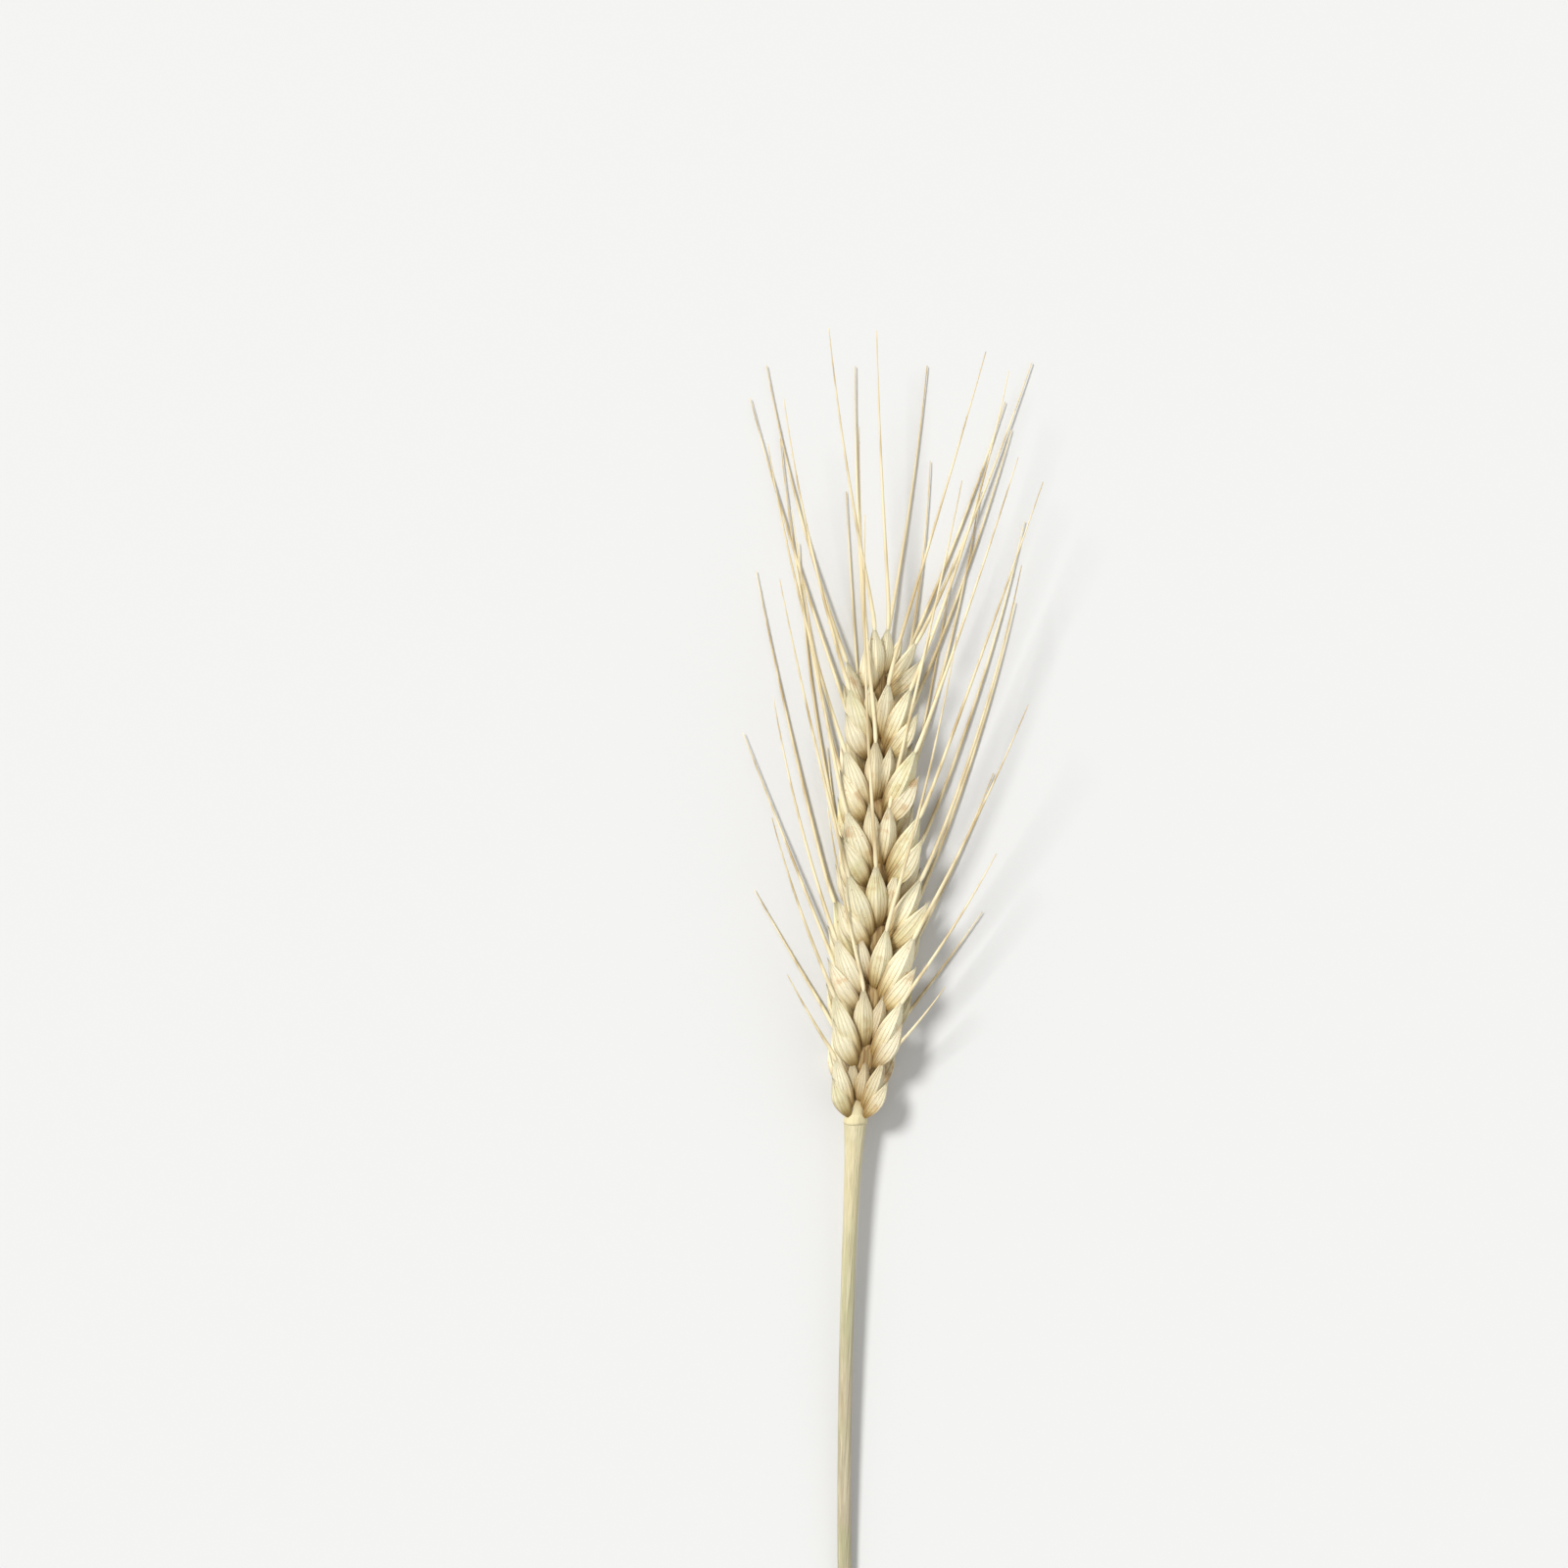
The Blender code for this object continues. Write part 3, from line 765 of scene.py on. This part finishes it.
AWN_TAN = (0.53, 0.40, 0.20, 1.0)
AWN_CREAM = (0.84, 0.73, 0.47, 1.0)
AWN_ROOT_PALE = (0.94, 0.85, 0.58, 1.0)
STRIPS_PER_METRE = (500.0, 22.0, 500.0)
AWN_RELIEF = 0.00005
awn_paint, paint = new_material("awn_bristle", Specular_IOR_Level=0.40)
place = paint.node("TexCoord", {}, {}, output=3)
strips = paint.noise(place, STRIPS_PER_METRE, 2.0)
root = paint.node("Attribute", {"attribute_name": "root"}, {}, output=2)
colour = paint.mix(AWN_TAN, AWN_CREAM, strips.within(0.30, 0.62))
colour = paint.mix(colour, AWN_ROOT_PALE, root * 0.85)
finish_material(awn_paint, colour, 0.40 + strips * 0.2, strips, AWN_RELIEF)

AWN_STOPS = 60
STOPS_CLOSER_AT_ROOT = 1.5
line = bpy.data.curves.new("awn_lines", "CURVE")
line.dimensions = "3D"
line.bevel_depth = AWN_THICKNESS
line.bevel_resolution = 1
line.use_fill_caps = True
for awn in awns:
    spline = line.splines.new("POLY")
    spline.points.add(AWN_STOPS - 1)
    for number, point in enumerate(spline.points):
        share = (number / (AWN_STOPS - 1)) ** STOPS_CLOSER_AT_ROOT
        point.co = (*awn_point(awn, share), 1.0)
        point.radius = awn_radius(awn, share) / AWN_THICKNESS
guide = bpy.data.objects.new("awn_lines", line)
bpy.context.scene.collection.objects.link(guide)
bpy.context.view_layer.update()
graph = bpy.context.evaluated_depsgraph_get()
bristles = bmesh.new()
bristles.from_mesh(bpy.data.meshes.new_from_object(guide.evaluated_get(graph)))
bmesh.ops.remove_doubles(bristles, verts=bristles.verts, dist=1e-6)
bpy.data.objects.remove(guide)

FIRST_BARB = 3
BARB_SPACING = 0.0010
BARB_SHIFT = 0.3
BARB_TURN = 2.4
BARB_LENGTH = 0.00034
BARB_RADIUS = 0.00006
BARB_OFF_AWN = 0.00002
BARB_LEAN = 0.35
NEARBY = 0.01
tooth = bmesh.new()
bmesh.ops.create_cone(
    tooth, cap_ends=True, segments=3, radius1=BARB_RADIUS, radius2=0.0, depth=BARB_LENGTH
)
barb_shape = shape_of(tooth, "barb_shape")
barbs = bmesh.new()
for awn in awns:
    for number in range(FIRST_BARB, int(awn.length / BARB_SPACING)):
        gone = (number + looks.uniform(-BARB_SHIFT, BARB_SHIFT)) * BARB_SPACING
        share = gone / awn.length
        ahead = awn_point(awn, share + NEARBY) - awn_point(awn, share - NEARBY)
        ahead.normalize()
        off = ahead.orthogonal().normalized()
        off.rotate(Quaternion(ahead, number * BARB_TURN))
        stand = (ahead + off * BARB_LEAN).to_track_quat("Z", "Y")
        from_line = awn_radius(awn, share) + BARB_OFF_AWN
        middle_of_barb = awn_point(awn, share) + off * from_line
        if middle_of_barb.z < BARB_LENGTH:
            continue
        for vert in add_copy(barbs, barb_shape):
            vert.co = middle_of_barb + stand @ vert.co
bristles.from_mesh(shape_of(barbs, "awn_barbs"))

PALE_ROOT_REACH = 0.0035
starts = KDTree(len(awns))
for number, awn in enumerate(awns):
    starts.insert(awn.start, number)
starts.balance()
roots = bristles.verts.layers.float.new("root")
for vert in bristles.verts:
    distance = starts.find(vert.co)[2]
    vert[roots] = math.exp(-((distance / PALE_ROOT_REACH) ** 2))
add_piece("awns", bristles, awn_paint, ["ear"])


# The surface that the ear lies on, and the light of a studio: a soft light from the upper left,
# a weaker one from the right, and an even pale surrounding. The tones go straight from the
# light to the picture.
FLOOR_SIZE = 40.0
FLOOR_BELOW = 0.00005
FLOOR_GREY = (0.68, 0.68, 0.67, 1.0)
bpy.ops.mesh.primitive_plane_add(size=FLOOR_SIZE, location=(0.0, 0.0, -FLOOR_BELOW))
floor = bpy.context.object
floor.name = "floor"
floor_paint = new_material(
    "floor", Base_Color=FLOOR_GREY, Specular_IOR_Level=0.2, Roughness=0.8
)[0]
floor.data.materials.append(floor_paint)

bpy.context.scene.view_settings.view_transform = "Standard"
world = bpy.data.worlds.new("studio")
bpy.context.scene.world = world
world.use_nodes = True
surrounding = world.node_tree.nodes["Background"]
surrounding.inputs["Color"].default_value = (1.0, 1.0, 1.0, 1.0)
surrounding.inputs["Strength"].default_value = 0.55
for name, place, softness, power in (
    ("key_light", (-0.50, 0.40, 0.75), 14.0, 2.95),
    ("fill_light", (0.80, -0.10, 0.60), 60.0, 0.35),
):
    lamp = bpy.data.objects.new(name, bpy.data.lights.new(name, "SUN"))
    lamp.data.angle = math.radians(softness)
    lamp.data.energy = power
    lamp.location = Vector(place)
    lamp.rotation_euler = Vector(place).to_track_quat("Z", "Y").to_euler()
    bpy.context.scene.collection.objects.link(lamp)
